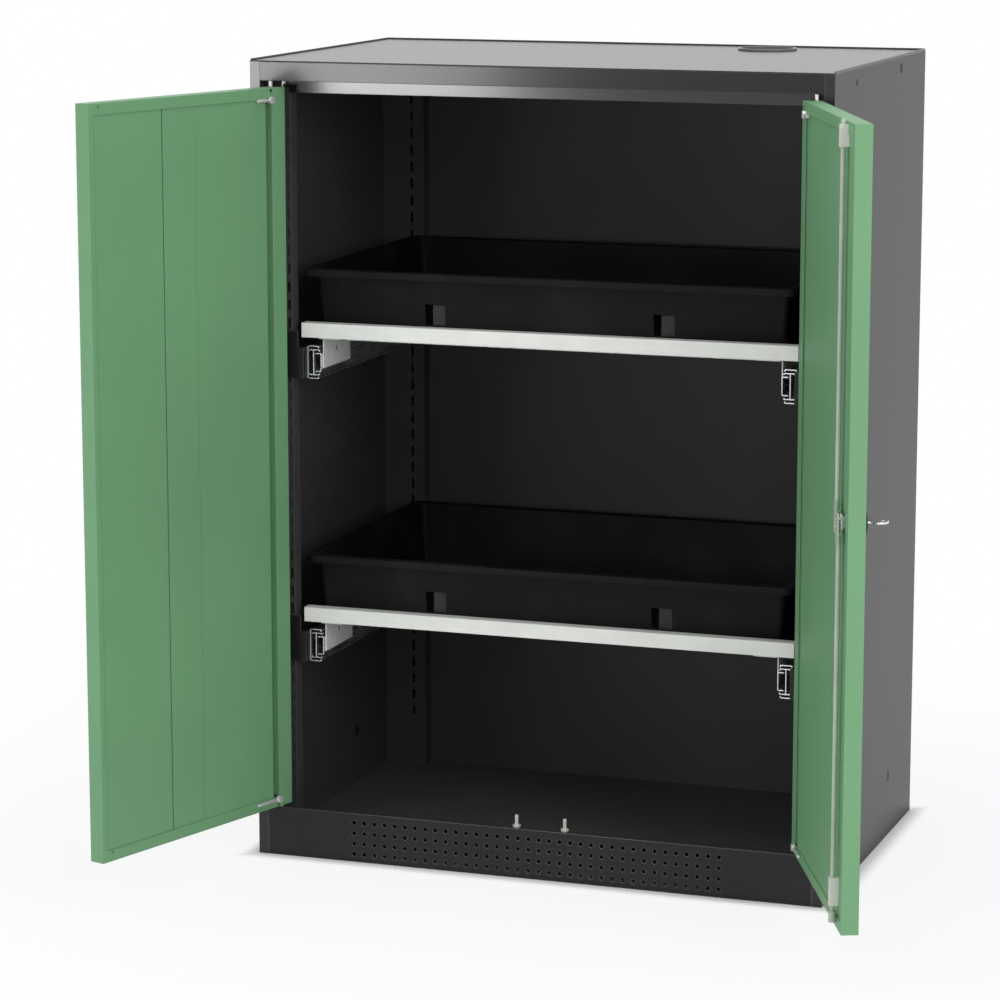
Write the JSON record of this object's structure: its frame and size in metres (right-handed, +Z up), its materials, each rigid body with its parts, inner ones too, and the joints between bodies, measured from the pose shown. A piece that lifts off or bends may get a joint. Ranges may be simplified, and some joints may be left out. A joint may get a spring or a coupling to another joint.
{
  "type": "two-door drawer cabinet",
  "caption": "Steel cabinet with a perforated plinth and a roof exhaust collar; key-locked green doors close over black trays on full-extension ball-bearing slides.",
  "frame": {"origin": "on the floor, under the middle of the carcass's width and depth", "axes": "+Z up, -Y the side with the doors, +X to the right for someone facing the doors"},
  "size_m": [1.0488, 0.8763, 1.108],
  "materials": {
    "carcass_paint": "fine-textured anthracite powder coat",
    "collar_paint": "satin dark grey paint",
    "door_paint": "satin green powder coat",
    "bar_paint": "light grey powder coat",
    "zinc": "galvanised sheet",
    "ball_steel": "bright steel",
    "bolt_steel": "bright zinc plating",
    "lock_metal": "nickel plating",
    "rod_steel": "light grey coating",
    "tray_black": "matt black moulded plastic",
    "clip_grey": "dark grey plastic",
    "plug_black": "black plastic",
    "white_plastic": "off-white plastic"
  },
  "bodies": {
    "cabinet": {"left_side_panel": "carcass_paint", "right_side_panel": "carcass_paint", "back_panel": "carcass_paint", "top_panel": "carcass_paint", "top_rail": "carcass_paint", "floor_panel": "carcass_paint", "plinth_panel": "carcass_paint", "plinth_stiffener": "carcass_paint", "sill_channel": "carcass_paint", "left_front_post": "carcass_paint", "right_front_post": "carcass_paint", "left_rear_post": "carcass_paint", "right_rear_post": "carcass_paint", "exhaust_collar": "collar_paint", "sill_pins": "white_plastic", "hinge_bushings": "white_plastic", "hole_plugs": "plug_black", "upper_slide_brackets": "zinc", "lower_slide_brackets": "zinc", "upper_left_outer_rail": "zinc", "upper_right_outer_rail": "zinc", "lower_left_outer_rail": "zinc", "lower_right_outer_rail": "zinc"},
    "left_door": {"left_door_shell": "door_paint", "left_door_liner": "door_paint", "left_hinge_bolts": "bolt_steel", "left_hinge_brackets": "zinc"},
    "right_door": {"right_door_shell": "door_paint", "right_door_liner": "door_paint", "right_hinge_bolts": "bolt_steel", "right_hinge_brackets": "zinc", "lock_escutcheon": "plug_black", "lock_housing": "lock_metal", "rod_guides": "white_plastic"},
    "lock": {"lock_core": "lock_metal", "key": "lock_metal"},
    "upper_rod": {"upper_lock_rod": "rod_steel"},
    "lower_rod": {"lower_lock_rod": "rod_steel"},
    "upper_drawer": {"upper_tray": "tray_black", "upper_front_bar": "bar_paint", "upper_cross_rails": "zinc", "upper_side_plates": "zinc", "upper_tray_clips": "clip_grey", "upper_inner_rails": "zinc"},
    "upper_middle_rails": {"upper_left_middle_rail": "zinc", "upper_right_middle_rail": "zinc"},
    "upper_outer_ball_cages": {"upper_outer_cages": "ball_steel"},
    "upper_inner_ball_cages": {"upper_inner_cages": "ball_steel"},
    "lower_drawer": {"lower_tray": "tray_black", "lower_front_bar": "bar_paint", "lower_cross_rails": "zinc", "lower_side_plates": "zinc", "lower_tray_clips": "clip_grey", "lower_inner_rails": "zinc"},
    "lower_middle_rails": {"lower_left_middle_rail": "zinc", "lower_right_middle_rail": "zinc"},
    "lower_outer_ball_cages": {"lower_outer_cages": "ball_steel"},
    "lower_inner_ball_cages": {"lower_inner_cages": "ball_steel"}
  },
  "joints": [
    {"name": "left_door_hinge", "type": "hinge", "parent": "cabinet", "child": "left_door", "pos_m": [-0.379, -0.251, 0.57], "axis": [0, 0, -1], "range_deg": [-107.4, 10.6]},
    {"name": "right_door_hinge", "type": "hinge", "parent": "cabinet", "child": "right_door", "pos_m": [0.379, -0.251, 0.57], "axis": [0, 0, 1], "range_deg": [-113.7, 4.3]},
    {"name": "upper_rod_slide", "type": "slide", "parent": "right_door", "child": "upper_rod", "axis": [0, 0, 1], "range_m": [0, 0.01202]},
    {"name": "key_turn", "type": "hinge", "parent": "right_door", "child": "lock", "pos_m": [0.51904, -0.55757, 0.5835], "axis": [0.9157, 0.4019, 0], "range_deg": [0, 90]},
    {"name": "lower_rod_slide", "type": "slide", "parent": "right_door", "child": "lower_rod", "axis": [0, 0, -1], "range_m": [0, 0.01202]},
    {"name": "upper_drawer_slide", "type": "slide", "parent": "cabinet", "child": "upper_drawer", "axis": [0, -1, 0], "range_m": [0, 0.42]},
    {"name": "upper_middle_rails_slide", "type": "slide", "parent": "cabinet", "child": "upper_middle_rails", "axis": [0, -1, 0], "range_m": [0, 0.21]},
    {"name": "upper_outer_ball_cages_slide", "type": "slide", "parent": "cabinet", "child": "upper_outer_ball_cages", "axis": [0, -1, 0], "range_m": [0, 0.105]},
    {"name": "upper_inner_ball_cages_slide", "type": "slide", "parent": "cabinet", "child": "upper_inner_ball_cages", "axis": [0, -1, 0], "range_m": [0, 0.315]},
    {"name": "lower_drawer_slide", "type": "slide", "parent": "cabinet", "child": "lower_drawer", "axis": [0, -1, 0], "range_m": [0, 0.42]},
    {"name": "lower_middle_rails_slide", "type": "slide", "parent": "cabinet", "child": "lower_middle_rails", "axis": [0, -1, 0], "range_m": [0, 0.21]},
    {"name": "lower_outer_ball_cages_slide", "type": "slide", "parent": "cabinet", "child": "lower_outer_ball_cages", "axis": [0, -1, 0], "range_m": [0, 0.105]},
    {"name": "lower_inner_ball_cages_slide", "type": "slide", "parent": "cabinet", "child": "lower_inner_ball_cages", "axis": [0, -1, 0], "range_m": [0, 0.315]}
  ],
  "couplings": [
    {"joint": "key_turn", "follows": "upper_rod_slide", "rad_per_m": 130.67},
    {"joint": "lower_rod_slide", "follows": "upper_rod_slide", "ratio": 1},
    {"joint": "upper_middle_rails_slide", "follows": "upper_drawer_slide", "ratio": 0.5},
    {"joint": "upper_outer_ball_cages_slide", "follows": "upper_drawer_slide", "ratio": 0.25},
    {"joint": "upper_inner_ball_cages_slide", "follows": "upper_drawer_slide", "ratio": 0.75},
    {"joint": "lower_middle_rails_slide", "follows": "lower_drawer_slide", "ratio": 0.5},
    {"joint": "lower_outer_ball_cages_slide", "follows": "lower_drawer_slide", "ratio": 0.25},
    {"joint": "lower_inner_ball_cages_slide", "follows": "lower_drawer_slide", "ratio": 0.75}
  ]
}
